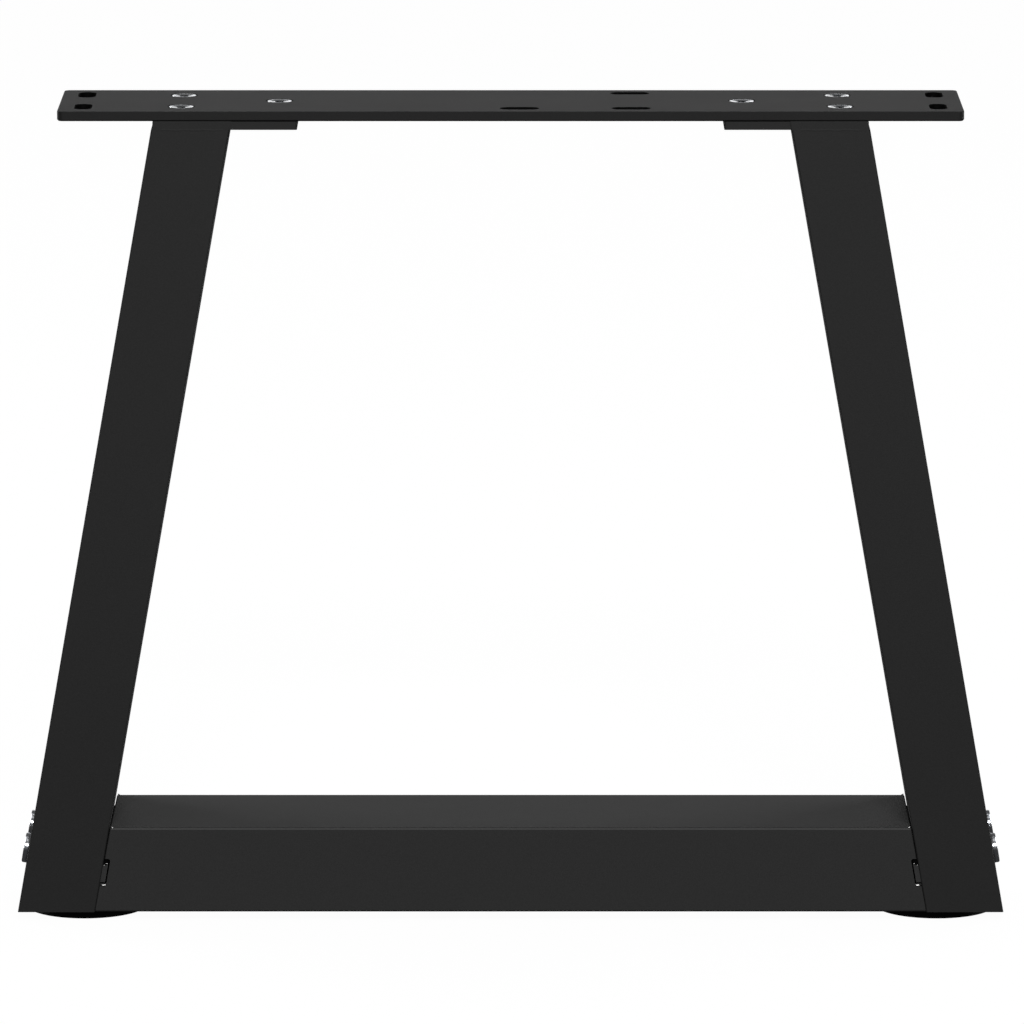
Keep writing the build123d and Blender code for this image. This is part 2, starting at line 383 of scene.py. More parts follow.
def moulded_plastic():
    """Matt black moulded plastic with a spark-eroded grain."""
    name = "foot_plastic_black"
    if name in bpy.data.materials:
        return bpy.data.materials[name]
    finish = bpy.context.scene.table_leg.finish
    material, tree, shader = new_material(name)
    colour = tuple(finish.plastic_colour)
    grain = place_noise(tree, "Fine Grain", 2600.0)
    drift = place_noise(tree, "Finish Drift", 60.0)
    tint = shade_mix(tree, drift.outputs["Drift"], scaled_colour(colour, 0.8), scaled_colour(colour, 1.25))
    link_finish(tree, shader, tint, noise_range(tree, grain.outputs["Speckle"], 0.5, 0.64))
    shader.inputs["Specular IOR Level"].default_value = 0.3
    add_bump(tree, shader, grain.outputs["Height"], 0.03 * MM)
    return material


def hex_radius(flats):
    """Radius of a hexagon's outline as a function of the angle."""
    def radius(angle):
        turn = (angle + pi / 6) % (pi / 3) - pi / 6
        return flats / 2 / cos(turn)
    return radius


def at_angle(value, angle):
    """A number, or a function of the angle, at an angle."""
    return value(angle) if callable(value) else value


def add_ring(bm, radius, height, sides):
    """A closed ring of vertices round Z, or one vertex where the radius is 0."""
    if radius == 0:
        return [bm.verts.new((0, 0, at_angle(height, 0)))]
    loop = []
    for step in range(sides):
        angle = 2 * pi * step / sides
        reach = at_angle(radius, angle)
        loop.append(bm.verts.new((reach * cos(angle), reach * sin(angle), at_angle(height, angle))))
    return loop


def join_loops(bm, loops, sides):
    """Skins closed loops of vertices in their order, where a loop of one vertex makes a point."""
    for low, high in zip(loops, loops[1:]):
        for step in range(sides):
            after = (step + 1) % sides
            corners = [low[step % len(low)], low[after % len(low)]]
            corners += [high[after % len(high)], high[step % len(high)]]
            bm.faces.new(list(dict.fromkeys(corners)))


def skin_rings(bm, rings, sides):
    """Skins a list of (radius, height) rings, in millimetres, from the first to the last."""
    join_loops(bm, [add_ring(bm, radius, height, sides) for radius, height in rings], sides)


def arc_rings(centre_r, centre_z, radius, start, end, steps):
    """Rings along a rounded edge, between two angles in degrees from outward to up."""
    rings = []
    for step in range(steps + 1):
        angle = radians(start + (end - start) * step / steps)
        rings.append((centre_r + radius * cos(angle), centre_z + radius * sin(angle)))
    return rings


def thread_height(phase):
    """Height of a 60 degree thread, from 0 at its root to 1 at its crest, over one pitch."""
    if phase <= CREST_END:
        return 1.0
    if phase < ROOT_START:
        return (ROOT_START - phase) / (ROOT_START - CREST_END)
    if phase <= ROOT_END:
        return 0.0
    return (phase - ROOT_END) / (1 - ROOT_END)


def skin_thread(bm, root, crest, low, high, pitch, sides):
    """A helical thread between two heights, in millimetres, that runs out to its root at both ends."""
    turns = ceil((high - low) / pitch)
    per_turn = len(THREAD_BREAKS)
    lines = []
    for turn in range(turns + 1):
        for part in THREAD_BREAKS:
            start = low + (turn - 1 + part) * pitch
            line = []
            for step in range(sides):
                angle = 2 * pi * step / sides
                height = min(max(start + pitch * step / sides, low), high)
                climb = (height - low) / pitch - step / sides
                runout = min(1.0, (height - low) / pitch, (high - height) / pitch)
                reach = root + (crest - root) * runout * thread_height(climb - floor(climb))
                line.append(bm.verts.new((reach * cos(angle), reach * sin(angle), height)))
            lines.append(line)
    for index in range(len(lines) - 1):
        for step in range(sides):
            if step + 1 < sides:
                low_next, high_next = lines[index][step + 1], lines[index + 1][step + 1]
            elif index + per_turn + 1 < len(lines):
                low_next, high_next = lines[index + per_turn][0], lines[index + per_turn + 1][0]
            else:
                continue
            bm.faces.new((lines[index][step], low_next, high_next, lines[index + 1][step]))


def clean_mesh(bm):
    """Joins the rings that meet and turns the faces outward."""
    bmesh.ops.remove_doubles(bm, verts=bm.verts, dist=MERGE_DISTANCE)
    bmesh.ops.dissolve_degenerate(bm, edges=bm.edges, dist=MERGE_DISTANCE)
    bmesh.ops.recalc_face_normals(bm, faces=bm.faces)


def finish_piece(name, bm, materials, body, replaced=()):
    """Makes an object of a mesh, smooths it, and has it ride on its body."""
    for face in bm.faces:
        face.smooth = True
    for edge in bm.edges:
        edge.smooth = edge.is_manifold and edge.calc_face_angle(pi) < SMOOTH_ANGLE
    mesh = bpy.data.meshes.new(name)
    bm.to_mesh(mesh)
    bm.free()
    for material in materials:
        mesh.materials.append(material)
    piece = bpy.data.objects.new(name, mesh)
    bpy.context.scene.collection.objects.link(piece)
    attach(piece, body)
    if replaced:
        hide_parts(*replaced)
    return piece


def fastener_mesh(build, places):
    """Copies of one turned fastener, made in millimetres round Z, at several places in metres."""
    whole = bmesh.new()
    turned = whole.verts.layers.float_vector.new("turned")
    for place in places:
        single = bmesh.new()
        build(single)
        clean_mesh(single)
        copies = {}
        for vert in single.verts:
            copy = whole.verts.new(place @ (vert.co * MM))
            copy[turned] = (hypot(vert.co.x, vert.co.y) * MM, vert.co.z * MM, 0)
            copies[vert] = copy
        for face in single.faces:
            copy = whole.faces.new([copies[vert] for vert in face.verts])
            copy.material_index = face.material_index
        single.free()
    bmesh.ops.recalc_face_normals(whole, faces=whole.faces)
    return whole


def hex_socket_rings(flats, top, depth, mouth, slope, up=1):
    """Rings of a hex socket from its drilled point to its mouth, in millimetres, open up or down."""
    point = 0.35
    outline = hex_radius(flats)

    def slant(angle):
        return top - up * slope * (at_angle(mouth, angle) - outline(angle))

    return [(0, top - up * (depth + point)), (outline, top - up * depth), (outline, slant), (mouth, top)]


def socketed_zinc():
    """Finishes of a socket fastener: bright outside, and darkened inside the socket as painted shade."""
    return [zinc_plate(), zinc_plate("zinc_plate_in_sockets")]


def paint_socket_shade(bm, flats, low, high):
    """Gives the faces inside a hex socket, between two heights in millimetres, the second finish, a darkened
    zinc that paints shade.
    """
    for face in bm.faces:
        spot = face.calc_center_median()
        if hypot(spot.x, spot.y) < 0.6 * flats and low < spot.z < high:
            face.material_index = 1


def side_of(name):
    """-1 for the left side, 1 for the right."""
    return -1 if name == "left" else 1


def past_leg(side, spot):
    """How far along X a spot lies past a leg's inner face, towards the middle of the beam."""
    low, high = LEG_BOXES[side]
    top_x = high.x if side == "left" else low.x
    sign = side_of(side)
    face_x = top_x + sign * (high.z - spot.z) * tan(bpy.context.scene.table_leg.fastener.lean)
    return sign * (face_x - spot.x)


def bolt_frame(side):
    """Where a side's front and back bolts meet the leg's outer face, with Z pointing into the leg."""
    fastener = bpy.context.scene.table_leg.fastener
    low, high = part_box(f"{side}_beam_bolts")
    sign = side_of(side)
    inward = Vector((-sign * cos(fastener.lean), 0, -sin(fastener.lean)))
    shank = 3 * MM
    tip_x = (high.x if sign < 0 else low.x) + sign * shank * sin(fastener.lean)
    tip = Vector((tip_x, 0, low.z + shank * cos(fastener.lean)))
    seat = tip - inward * fastener.bolt_length
    spread = high.y - fastener.bolt_head / 2
    turn = Vector((0, 0, 1)).rotation_difference(inward).to_matrix().to_4x4()
    return [Matrix.Translation(seat + Vector((0, y, 0))) @ turn for y in (-spread, spread)]


class TABLELEG_OT_stage(bpy.types.Operator):
    """Adds the floor, the white studio, its lights and the camera"""

    bl_idname = "table_leg.stage"
    bl_label = "Stage"

    def execute(self, context):
        stage = context.scene.table_leg.stage
        self.add_floor(stage)
        self.add_room(context.scene, stage)
        for name, power, size, place, target in LIGHTS:
            self.add_light(name, getattr(stage, power), size, place, target)
        camera = bpy.data.cameras.new("camera")
        camera.sensor_width = SENSOR_WIDTH
        camera.lens = stage.camera_lens
        camera.clip_end = CLIP_END
        viewer = bpy.data.objects.new("camera", camera)
        viewer.location = stage.camera_place
        viewer.rotation_euler = (pi / 2 - stage.camera_pitch, 0, 0)
        context.scene.collection.objects.link(viewer)
        context.scene.camera = viewer
        context.scene.view_settings.view_transform = "Standard"
        return {"FINISHED"}

    def add_floor(self, stage):
        """A floor that looks white, throws little light back and is clear from below."""
        half = stage.floor_width / 2
        shade = stage.floor_shade
        bm = bmesh.new()
        corners = ((-half, -half), (half, -half), (half, half), (-half, half))
        bm.faces.new([bm.verts.new((x, y, 0)) for x, y in corners])
        mesh = bpy.data.meshes.new("floor")
        bm.to_mesh(mesh)
        bm.free()
        material, tree, shader = new_material("floor_paint")
        shader.inputs["Base Color"].default_value = (shade, shade, shade, 1)
        shader.inputs["Roughness"].default_value = 0.9
        shader.inputs["Specular IOR Level"].default_value = 0.0
        shader.inputs["Emission Color"].default_value = WHITE
        shader.inputs["Emission Strength"].default_value = stage.floor_glow
        bounce = tree.nodes.new("ShaderNodeEmission")
        bounce.inputs["Strength"].default_value = stage.floor_bounce
        seen = tree.nodes.new("ShaderNodeLightPath").outputs["Is Camera Ray"]
        upper = mix_shaders(tree, seen, bounce.outputs["Emission"], shader.outputs["BSDF"])
        below = tree.nodes.new("ShaderNodeNewGeometry")
        clear = tree.nodes.new("ShaderNodeBsdfTransparent")
        sided = mix_shaders(tree, below.outputs["Backfacing"], upper, clear.outputs["BSDF"])
        tree.links.new(sided, tree.nodes["Material Output"].inputs["Surface"])
        mesh.materials.append(material)
        ground = bpy.data.objects.new("floor", mesh)
        bpy.context.scene.collection.objects.link(ground)

    def add_room(self, scene, stage):
        """A dim room round the part, which the camera sees as white paper."""
        world = bpy.data.worlds.new("studio")
        world.use_nodes = True
        tree = world.node_tree
        room = tree.nodes["Background"]
        room.inputs["Color"].default_value = WHITE
        room.inputs["Strength"].default_value = stage.room_light
        paper = tree.nodes.new("ShaderNodeBackground")
        paper.inputs["Color"].default_value = WHITE
        seen = tree.nodes.new("ShaderNodeLightPath").outputs["Is Camera Ray"]
        whole = mix_shaders(tree, seen, room.outputs["Background"], paper.outputs["Background"])
        tree.links.new(whole, tree.nodes["World Output"].inputs["Surface"])
        scene.world = world

    def add_light(self, name, power, size, place, target):
        """A soft light that the camera doesn't see, at a place and turned to a target."""
        light = bpy.data.lights.new(name, "AREA")
        light.shape = "RECTANGLE"
        light.size, light.size_y = size
        light.energy = power
        lamp = bpy.data.objects.new(name, light)
        lamp.location = place
        aim = Vector(target) - Vector(place)
        lamp.rotation_euler = aim.to_track_quat("-Z", "Y").to_euler()
        lamp.visible_camera = False
        bpy.context.scene.collection.objects.link(lamp)


class TABLELEG_OT_coated_steel(bpy.types.Operator):
    """Powder coats the plate, legs, flanges, end plates and foot blocks"""

    bl_idname = "table_leg.coated_steel"
    bl_label = "Coated Steel"

    def execute(self, context):
        coat = powder_coat()
        for node in COATED_NODES:
            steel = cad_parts[node]
            steel.data.materials.clear()
            steel.data.materials.append(coat)
        self.paint_shade_in_slots(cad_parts["top_plate"].data)
        for side in SIDES:
            self.shade_tabs(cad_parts[f"{side}_beam_end_plate"].data)
        return {"FINISHED"}

    def shade_tabs(self, plate):
        """Gives the tabs' ends, which show in the notches, a lighter coat as painted light, and paints shade
        with a near-black coat on what lies behind.
        """
        # Painted light: a lighter copy of the coat for the tabs' ends
        plate.materials.append(powder_coat("powder_coat_on_tabs"))
        # Painted shade: a near-black copy of the coat for the end plate's faces behind the tabs
        plate.materials.append(powder_coat("powder_coat_in_slots"))
        slack = 0.1 * MM
        reach = max(abs(face.center.y) for face in plate.polygons) - slack
        tab_z = max(face.center.z for face in plate.polygons if abs(face.center.y) > reach)
        for face in plate.polygons:
            if abs(face.center.y) > reach:
                face.material_index = 1
            elif abs(face.normal.y) > FACING and face.center.z > tab_z:
                face.material_index = 2

    def paint_shade_in_slots(self, plate):
        """Paints shade on the plate's cut edges with a darker coat, and on the walls of its slots and holes
        with a near-black one.
        """
        # Painted shade: a near-black copy of the coat for the walls of slots and holes
        plate.materials.append(powder_coat("powder_coat_in_slots"))
        # Painted shade: a darker copy of the coat for the plate's outer cut edges
        plate.materials.append(powder_coat("powder_coat_on_cut_edges"))
        low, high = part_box("top_plate")
        rim = 2 * MM
        for face in plate.polygons:
            inside = all(low[axis] + rim < face.center[axis] < high[axis] - rim for axis in (0, 1))
            if abs(face.normal.z) < FACING:
                face.material_index = 1 if inside else 2


class TABLELEG_OT_flange_welds(bpy.types.Operator):
    """Lays the weld beads between each flange and its leg"""

    bl_idname = "table_leg.flange_welds"
    bl_label = "Flange Welds"

    def execute(self, context):
        for side in SIDES:
            bm = bmesh.new()
            self.add_beads(bm, side, context.scene.table_leg)
            bmesh.ops.recalc_face_normals(bm, faces=bm.faces)
            finish_piece(f"{side}_flange_welds", bm, [powder_coat()], "frame")
        return {"FINISHED"}

    def add_beads(self, bm, side, settings):
        """The beads under a flange and on its outer ledge, and the seams on its front and back."""
        sign = side_of(side)
        lean = settings.fastener.lean
        weld = settings.weld
        end_clear = 3.4 * MM
        ledge_reach, ledge_rise = 0.75 * MM, 1.6 * MM
        seam_inset = 2 * MM
        tube_low, tube_high = LEG_BOXES[side]
        flange_low, flange_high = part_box(f"{side}_top_flange")
        corner_x = tube_high.x if sign < 0 else tube_low.x
        ledge_x = flange_low.x if sign < 0 else flange_high.x
        half = tube_high.y - end_clear
        corner = Vector((corner_x, 0, tube_high.z))
        along = Vector((-sign, 0, 0)) * weld.leg
        down = Vector((sign * sin(lean), 0, -cos(lean))) * weld.leg
        self.lay_bead(bm, corner, half, along, down, weld.ripple)
        ledge = Vector((ledge_x, 0, tube_high.z))
        outward = Vector((sign * ledge_reach, 0, 0))
        upward = Vector((0, 0, ledge_rise))
        self.lay_bead(bm, ledge, half, outward, upward, weld.ripple)
        seam_low, seam_high = sorted((ledge_x - sign * seam_inset, corner_x + sign * seam_inset))
        for front in (-1, 1):
            spot = Vector((0, front * flange_high.y, tube_high.z))
            self.lay_seam(bm, spot, seam_low, seam_high, front, weld)

    def lay_bead(self, bm, corner, half, leg_a, leg_b, pitch):
        """A rippled fillet bead along Y, between two legs that start in the corner."""
        steps_per_ripple, across = 6, 8
        end_start, end_run = 0.35 * pitch, 1.6 * pitch
        bow, valley, swell = 0.55, 0.78, 0.4
        count = ceil(2 * half / pitch) * steps_per_ripple
        outward = (leg_a + leg_b).normalized()
        crown = 0.16 * (leg_a + leg_b).length
        sink = outward * -0.05 * MM
        loops = []
        for step in range(count + 1):
            y = -half + 2 * half * step / count
            fade = min(1.0, (half - abs(y) + end_start) / end_run) ** 0.5
            loop = [bm.verts.new(corner + sink + Vector((0, y, 0)))]
            for part in range(across + 1):
                share = part / across
                bulge = sin(pi * share)
                phase = y / pitch + bow * bulge
                local = phase - floor(phase)
                dome = 1 - (2 * local - 1) ** 2
                lift = crown * bulge * (valley + swell * dome)
                spot = leg_a * (1 - share) + leg_b * share
                point = corner + sink + (spot + outward * lift) * fade + Vector((0, y, 0))
                loop.append(bm.verts.new(point))
            loops.append(loop)
        join_loops(bm, loops, across + 2)
        bm.faces.new(loops[0])
        bm.faces.new(loops[-1])

    def lay_seam(self, bm, spot, x_low, x_high, front, weld):
        """A seam that was ground almost flush, as a low uneven ridge along X."""
        across = 6
        stride, sink = 0.6 * MM, 0.02 * MM
        end_rate = 12
        uneven, uneven_rate = 0.25, 2100
        count = ceil((x_high - x_low) / stride)
        loops = []
        for step in range(count + 1):
            x = x_low + (x_high - x_low) * step / count
            run = step / count
            fade = min(1.0, end_rate * run, end_rate * (1 - run)) ** 0.5
            sway = sum(reach * sin(x * rate) for reach, rate in SEAM_WAVES)
            loop = []
            for part in range(across + 1):
                share = part / across
                lift = weld.seam_rise * fade * sin(pi * share) * (1 + uneven * sin(x * uneven_rate))
                height = (share - 0.5) * weld.seam_width * (0.4 + 0.6 * fade) + sway
                loop.append(bm.verts.new((x, spot.y + front * (lift - sink), spot.z + height)))
            loops.append(loop)
        join_loops(bm, loops, across + 1)
        bm.faces.new(loops[0])
        bm.faces.new(loops[-1])


class TABLELEG_OT_floor_beam(bpy.types.Operator):
    """Rounds the slanted ends of the floor beam and paints shade on the walls of its notches"""

    bl_idname = "table_leg.floor_beam"
    bl_label = "Floor Beam"

    def execute(self, context):
        bare = context.scene.table_leg.end_detail
        low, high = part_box("floor_beam")
        middle = (low + high) / 2
        round_steps = 4
        corner_slant = 0.1
        bm = bmesh.new()
        bm.from_mesh(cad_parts["floor_beam"].data)
        bmesh.ops.remove_doubles(bm, verts=bm.verts, dist=1e-3 * MM)
        bmesh.ops.dissolve_limit(bm, angle_limit=radians(0.2), verts=bm.verts, edges=bm.edges)
        notch_z = middle.z - bare.notch_drop
        rim = [edge for edge in bm.edges if self.on_rim(edge, middle, notch_z)]
        bmesh.ops.bevel(bm, geom=rim, offset=bare.end_round, offset_type="OFFSET", segments=round_steps,
                        profile=0.5, affect="EDGES", clamp_overlap=True)
        for face in bm.faces:
            # Painted shade: the notch walls take a near-black copy of the coat
            if self.in_notch(face, notch_z, bare):
                face.material_index = 1
            elif min(abs(face.normal.y), abs(face.normal.z)) > corner_slant:
                face.material_index = 2
        # The beam and its rounded edges take lighter copies of the coat as painted light, its notch walls a
        # near-black one as painted shade
        coats = ("powder_coat_on_beam", "powder_coat_in_slots", "powder_coat_on_corners")
        materials = [powder_coat(coat) for coat in coats]
        beam = finish_piece("rounded_beam", bm, materials, "frame", ["floor_beam"])
        beam.modifiers.new("even_shading", "WEIGHTED_NORMAL").keep_sharp = True
        return {"FINISHED"}

    def on_rim(self, edge, middle, notch_z):
        """Tells the outer rim of the beam's ends, above the notches, from its other edges."""
        end_reach = 1 * MM
        lengthwise = 0.2
        if not edge.is_manifold:
            return False
        spot = (edge.verts[0].co + edge.verts[1].co) / 2
        side = "left" if spot.x < 0 else "right"
        at_end = spot.z > notch_z and all(past_leg(side, vert.co) < end_reach for vert in edge.verts)
        walls = [face for face in edge.link_faces if abs(face.normal.x) < lengthwise]
        if not at_end or len(walls) != 1:
            return False
        outward = walls[0].calc_center_median() - middle
        return outward.y * walls[0].normal.y + outward.z * walls[0].normal.z > 0

    def in_notch(self, face, notch_z, bare):
        """Tells the walls of the notches from the beam's other faces."""
        spot = face.calc_center_median()
        side = "left" if spot.x < 0 else "right"
        near, far = 0.5 * MM, bare.notch_width + 0.6 * MM
        half = bare.notch_height / 2 + 0.1 * MM
        within = near < past_leg(side, spot) < far and abs(spot.z - notch_z) < half
        return within and abs(face.normal.y) < 0.5


class TABLELEG_OT_highlight_beads(bpy.types.Operator):
    """Lays bright metal beads that paint highlights on the lips of the beam's notches, on the corners of its
    ends and on its tabs
    """

    bl_idname = "table_leg.bare_edges"
    bl_label = "Bare Edges"

    def execute(self, context):
        bare = context.scene.table_leg.end_detail
        for side in SIDES:
            bm = bmesh.new()
            for front in (-1, 1):
                self.sweep(bm, self.lip_path(side, front, bare), bare.lip / 2)
                self.sweep(bm, self.corner_bead_path(side, front), bare.corner_bead / 2)
                for ends in TAB_BEADS:
                    self.sweep(bm, self.tab_path(side, front, bare, ends), bare.bead / 2)
            bmesh.ops.recalc_face_normals(bm, faces=bm.faces)
            finish_piece(f"{side}_bare_edges", bm, [highlight_metal()], "frame")
        return {"FINISHED"}

    def lip_path(self, side, front, bare):
        """Points along the foot of a notch, which turns up a little at both ends."""
        low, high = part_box("floor_beam")
        foot = (low.z + high.z) / 2 - bare.notch_drop - bare.notch_height / 2
        start, end = 0.7 * MM, bare.notch_width + 0.15 * MM
        rise, turn_up = 0.45 * MM, 0.4 * MM

        def point_at(share):
            height = foot + turn_up * abs(2 * share - 1) ** 2 + rise
            return start + (end - start) * share, front * high.y, height

        return self.trace(side, point_at, steps=16)

    def corner_bead_path(self, side, front):
        """Points along the highlight bead on the corner at the end of the beam's upper edge."""
        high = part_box("floor_beam")[1]
        start, end = (Vector(spot) * MM for spot in CORNER_BEAD)

        def point_at(share):
            past, inset, rise = start.lerp(end, share)
            return past, front * (high.y - inset), high.z + rise

        return self.trace(side, point_at, steps=10)

    def tab_path(self, side, front, bare, ends):
        """Points along a bead on a tab, between two spots near the tab's upper edge."""
        low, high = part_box("floor_beam")
        tab_top = (low.z + high.z) / 2 - bare.tab_drop + bare.tab_height / 2
        start, end = (Vector(spot) * MM for spot in ends)

        def point_at(share):
            past, rise = start.lerp(end, share)
            return past, front * (high.y - bare.tab_recess), tab_top + rise

        return self.trace(side, point_at, steps=8)

    def trace(self, side, point_at, steps):
        """A path of points, each given by its distance past a leg's inner face, its Y and its Z."""
        path = []
        for step in range(steps + 1):
            past, y, z = point_at(step / steps)
            spot = Vector((0, y, z))
            spot.x = -side_of(side) * (past - past_leg(side, spot))
            path.append(spot)
        return path

    def sweep(self, bm, path, radius):
        """A round bead along a path, which tapers to a point at both ends."""
        sides = 12
        turns = [2 * pi * step / sides for step in range(sides)]
        loops = []
        for index, spot in enumerate(path):
            ahead = path[min(index + 1, len(path) - 1)] - path[max(index - 1, 0)]
            across = ahead.cross(Vector((0, 0, 1))).normalized()
            up = ahead.cross(across).normalized()
            share = index / (len(path) - 1)
            reach = radius * (1 - abs(2 * share - 1) ** 3) ** 0.5
            spots = [spot]
            if reach > 0:
                spots = [spot + (across * cos(turn) + up * sin(turn)) * reach for turn in turns]
            loops.append([bm.verts.new(place) for place in spots])
        join_loops(bm, loops, sides)


class TABLELEG_OT_plate_screws(bpy.types.Operator):
    """Puts countersunk socket screws through the plate into the flanges"""

    bl_idname = "table_leg.plate_screws"
    bl_label = "Plate Screws"

    def execute(self, context):
        fastener = context.scene.table_leg.fastener
        radius = fastener.screw_head / 2
        for side in SIDES:
            low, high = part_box(f"{side}_plate_screws")
            outer, inner = low.x + radius, high.x - radius
            if side == "right":
                outer, inner = inner, outer
            spread = high.y - radius
            top = high.z + fastener.screw_rise
            places = []
            for x, y, turn in ((outer, -spread, 11), (outer, spread, 37), (inner, 0, 23)):
                places.append(Matrix.Translation((x, y, top)) @ Matrix.Rotation(radians(turn), 4, "Z"))
            length = (top - low.z) / MM
            bm = fastener_mesh(lambda single: self.build(single, fastener, length), places)
            replaced = [f"{side}_plate_screws"]
            finish_piece(f"{side}_socket_screws", bm, socketed_zinc(), "frame", replaced)
        return {"FINISHED"}

    def build(self, bm, fastener, length):
        """One screw, in millimetres, from the drilled point of its socket to its tip."""
        head = fastener.screw_head / MM / 2
        flats = fastener.hex_key / MM
        shank, root = 3.0, 2.42
        crest = shank - 0.02
        gap, rim = 0.04, 0.22
        dish, mouth, socket_floor, slope = 0.28, 2.4, 2.4, 0.35
        cone_end = -(head - shank)
        thread_start, thread_end = cone_end - 0.45, -length + 0.5
        rings = hex_socket_rings(flats, -dish, socket_floor - dish, mouth, slope)
        rings += [(head - 0.9, -0.035), (head - 2 * rim, 0)]
        rings += arc_rings(head - 2 * rim - gap, -rim, rim, 90, -45, 5)[1:]
        rings += [(shank + 0.3, cone_end - gap + 0.3), (crest, cone_end - 0.15), (root, thread_start)]
        skin_rings(bm, rings, ROUND_SIDES)
        # Painted shade: the socket's inside takes the darkened zinc
        paint_socket_shade(bm, flats, -3, -dish - 0.2)
        skin_thread(bm, root, crest, thread_end, thread_start, fastener.thread_pitch / MM, ROUND_SIDES)
        skin_rings(bm, [(root, thread_end), (root - 0.5, -length), (0, -length)], ROUND_SIDES)


class TABLELEG_OT_beam_bolts(bpy.types.Operator):
    """Puts low-head socket bolts through the legs into the beam"""

    bl_idname = "table_leg.beam_bolts"
    bl_label = "Beam Bolts"

    def execute(self, context):
        fastener = context.scene.table_leg.fastener
        for side in SIDES:
            bm = fastener_mesh(lambda single: self.build(single, fastener), bolt_frame(side))
            replaced = [f"{side}_beam_bolts"]
            finish_piece(f"{side}_socket_bolts", bm, socketed_zinc(), "frame", replaced)
        return {"FINISHED"}

    def build(self, bm, fastener):
        """One bolt, in millimetres, from the drilled point of its socket to its tip."""
        head = fastener.bolt_head / MM / 2
        length = fastener.bolt_length / MM
        flats = fastener.hex_key / MM
        height, face_inset = 2.7, 2.2
        depth, mouth, slope = 2.2, hex_radius(flats + 0.24), 1.0
        rim, foot = 0.8, 0.25
        shank, root = 2.98, 2.42
        thread_start, thread_end = length - 16, length - 0.6
        rings = hex_socket_rings(flats, -height, depth, mouth, slope, up=-1)
        rings += [(head - face_inset, -height)]
        rings += [(r, -height - z) for r, z in arc_rings(head - rim, -rim, rim, 90, 0, 7)]
        rings += [(r, -foot - z) for r, z in arc_rings(head - foot, 0, foot, 0, -90, 4)]
        rings += [(shank + 0.5, 0), (shank, 0.5), (shank, thread_start - 0.6), (root, thread_start)]
        skin_rings(bm, rings, ROUND_SIDES)
        # Painted shade: the socket's inside takes the darkened zinc
        paint_socket_shade(bm, flats, 0.2 - height, 0)
        skin_thread(bm, root, shank, thread_start, thread_end, fastener.thread_pitch / MM, ROUND_SIDES)
        skin_rings(bm, [(root, thread_end), (root - 0.5, length), (0, length)], ROUND_SIDES)


class TABLELEG_OT_beam_nuts(bpy.types.Operator):
    """Puts chamfered weld nuts behind the beam's end plates"""

    bl_idname = "table_leg.beam_nuts"
    bl_label = "Beam Nuts"

    def execute(self, context):
        for side in SIDES:
            bm = fastener_mesh(self.build, bolt_frame(side))
            finish_piece(f"{side}_weld_nuts", bm, [zinc_plate()], "frame", [f"{side}_beam_nuts"])
        return {"FINISHED"}

    def build(self, bm):
        """One nut, in millimetres along its bolt, with both its faces and its bore chamfered."""
        seat, height = 41.5, 5.0
        flats = 10.0
        bore, mouth, mouth_depth = 3.05, 3.45, 0.4
        chamfer_r, chamfer_slope = 4.75, 0.577
        outline = hex_radius(flats)

        def drop(angle):
            return (outline(angle) - chamfer_r) * chamfer_slope

        top = seat + height
        skin_rings(bm, [
            (bore, seat + mouth_depth), (mouth, seat), (chamfer_r, seat),
            (outline, lambda angle: seat + drop(angle)),
            (outline, lambda angle: top - drop(angle)),
            (chamfer_r, top), (mouth, top), (bore, top - mouth_depth), (bore, seat + mouth_depth),
        ], ROUND_SIDES)


class TABLELEG_OT_foot_studs(bpy.types.Operator):
    """Puts a threaded stud in each levelling foot"""

    bl_idname = "table_leg.foot_studs"
    bl_label = "Foot Studs"

    def execute(self, context):
        fastener = context.scene.table_leg.fastener
        for side in SIDES:
            low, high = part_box(f"{side}_foot_stud")
            place = Matrix.Translation(((low.x + high.x) / 2, 0, low.z))
            length = (high.z - low.z) / MM
            bm = fastener_mesh(lambda single: self.build(single, fastener, length), [place])
            replaced = [f"{side}_foot_stud"]
            finish_piece(f"{side}_threaded_stud", bm, [zinc_plate()], f"{side}_foot", replaced)
        return {"FINISHED"}

    def build(self, bm, fastener, length):
        """One stud, in millimetres, from its moulded-in base to its tip."""
        base, thick = 7.95, 2.0
        crest, root = 3.97, 3.25
        edge = 0.3
        start, end = thick + 1.0, length - 0.9
        rings = [(0, 0), (base - edge, 0)]
        rings += arc_rings(base - edge, edge, edge, -90, 0, 4)[1:]
        rings += arc_rings(base - edge, thick - edge, edge, 0, 90, 4)
        rings += [(root + 0.7, thick), (root + 0.15, thick + 0.3), (root, start)]
        skin_rings(bm, rings, ROUND_SIDES)
        skin_thread(bm, root, crest, start, end, fastener.stud_pitch / MM, ROUND_SIDES)
        skin_rings(bm, [(root, end), (root - 0.75, length), (0, length)], ROUND_SIDES)


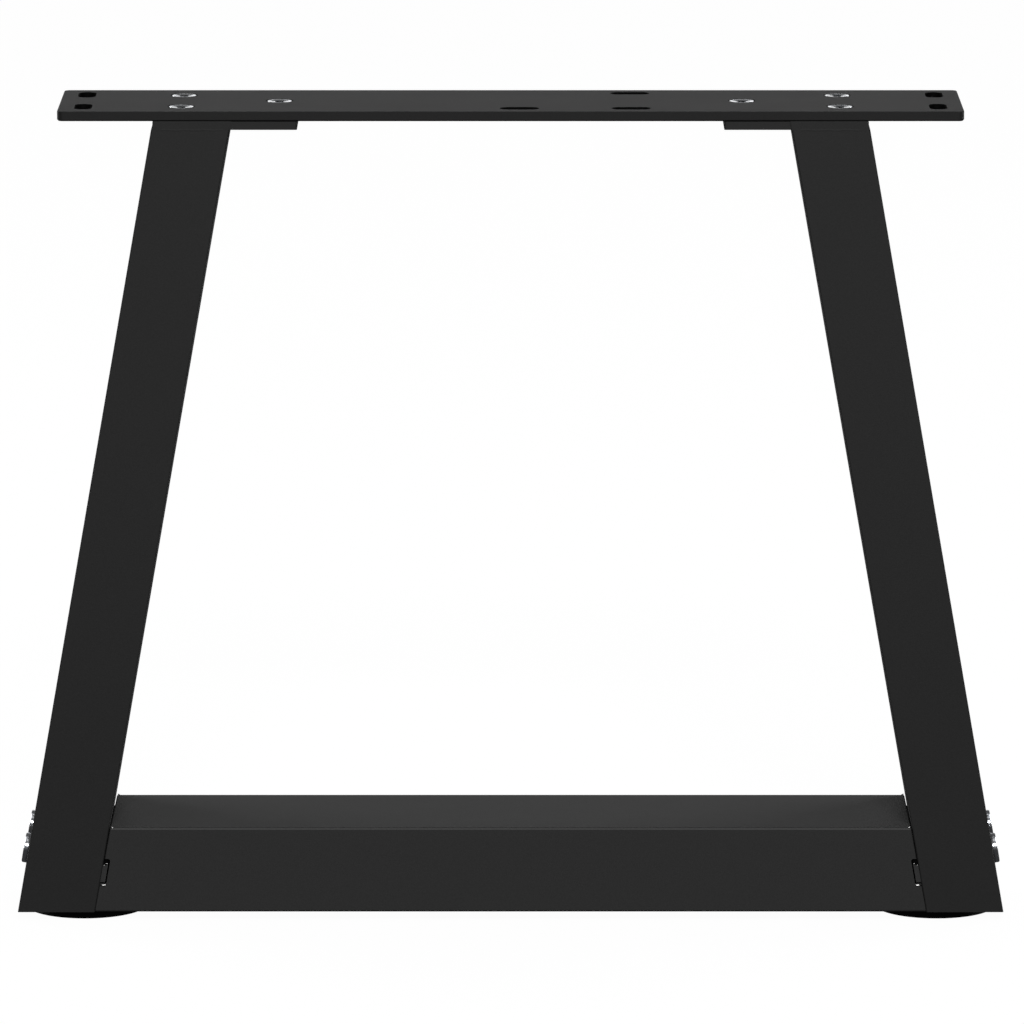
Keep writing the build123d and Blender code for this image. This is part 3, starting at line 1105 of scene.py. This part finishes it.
class TABLELEG_OT_foot_pads(bpy.types.Operator):
    """Moulds the round foot pads"""

    bl_idname = "table_leg.foot_pads"
    bl_label = "Foot Pads"

    def execute(self, context):
        for side in SIDES:
            low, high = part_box(f"{side}_foot_pad")
            place = Matrix.Translation(((low.x + high.x) / 2, 0, low.z))
            radius = (high.x - low.x) / 2 / MM
            height = (high.z - low.z) / MM
            bm = fastener_mesh(lambda single: self.build(single, radius, height), [place])
            materials, replaced = [moulded_plastic()], [f"{side}_foot_pad"]
            finish_piece(f"{side}_moulded_foot", bm, materials, f"{side}_foot", replaced)
        return {"FINISHED"}

    def build(self, bm, radius, height):
        """One pad, in millimetres, from its grooved underside over its rim to the pocket for its stud."""
        rim, heel = 1.6, 0.3
        dish = 0.35
        recess = 0.6
        wide, narrow, deep = 0.75, 0.45, 0.35
        pocket_floor, pocket_top = 1.6, 3.6
        bore, pocket = 4.05, 8.0
        rings = [(0, recess), (radius - 10.4, recess), (radius - 10, recess - 0.1), (radius - 9.7, 0.12)]
        for groove in (7.6, 5.2, 2.8):
            centre = radius - groove
            rings += [(centre - wide, 0), (centre - narrow, deep)]
            rings += [(centre + narrow, deep), (centre + wide, 0)]
        rings += arc_rings(radius - heel, heel, heel, -90, 0, 5)
        rings += arc_rings(radius - rim, height - rim, rim, 0, 90, 8)
        rings += [(radius - 4.4, height), (radius - 4.9, height - 0.08), (radius - 5.5, height - dish)]
        rings += [(10.4, height - dish), (9.8, height - 0.08), (9.3, height), (4.6, height)]
        rings += [(bore, height - 0.5)]
        rings += [(bore, pocket_top), (pocket, pocket_top), (pocket, pocket_floor), (0, pocket_floor)]
        skin_rings(bm, rings, FOOT_SIDES)


class TABLELEG_PT_panel(bpy.types.Panel):
    """Lists the pieces of the table leg"""

    bl_idname = "TABLELEG_PT_panel"
    bl_label = "Table Leg"
    bl_space_type = "VIEW_3D"
    bl_region_type = "UI"
    bl_category = "Table Leg"

    def draw(self, context):
        settings = context.scene.table_leg
        for operator in OPERATORS:
            self.layout.operator(operator.bl_idname)
        for group in (settings.stage, settings.finish, settings.fastener, settings.weld, settings.end_detail):
            box = self.layout.box()
            for label in group.bl_rna.properties.keys():
                if label not in ("rna_type", "name"):
                    box.prop(group, label)


OPERATORS = (
    TABLELEG_OT_stage,
    TABLELEG_OT_coated_steel,
    TABLELEG_OT_flange_welds,
    TABLELEG_OT_floor_beam,
    TABLELEG_OT_highlight_beads,
    TABLELEG_OT_plate_screws,
    TABLELEG_OT_beam_bolts,
    TABLELEG_OT_beam_nuts,
    TABLELEG_OT_foot_studs,
    TABLELEG_OT_foot_pads,
)
GROUPS = (StageSettings, FinishSettings, FastenerSettings, WeldSettings, EndDetailSettings, TableLegSettings)
CLASSES = GROUPS + OPERATORS + (TABLELEG_PT_panel,)


def register():
    for item in CLASSES:
        bpy.utils.register_class(item)
    bpy.types.Scene.table_leg = PointerProperty(type=TableLegSettings)


def unregister():
    del bpy.types.Scene.table_leg
    for item in reversed(CLASSES):
        bpy.utils.unregister_class(item)


def main():
    register()
    bpy.ops.table_leg.stage()
    bpy.ops.table_leg.coated_steel()
    bpy.ops.table_leg.flange_welds()
    bpy.ops.table_leg.floor_beam()
    bpy.ops.table_leg.bare_edges()
    bpy.ops.table_leg.plate_screws()
    bpy.ops.table_leg.beam_bolts()
    bpy.ops.table_leg.beam_nuts()
    bpy.ops.table_leg.foot_studs()
    bpy.ops.table_leg.foot_pads()


if __name__ == "__main__":
    main()
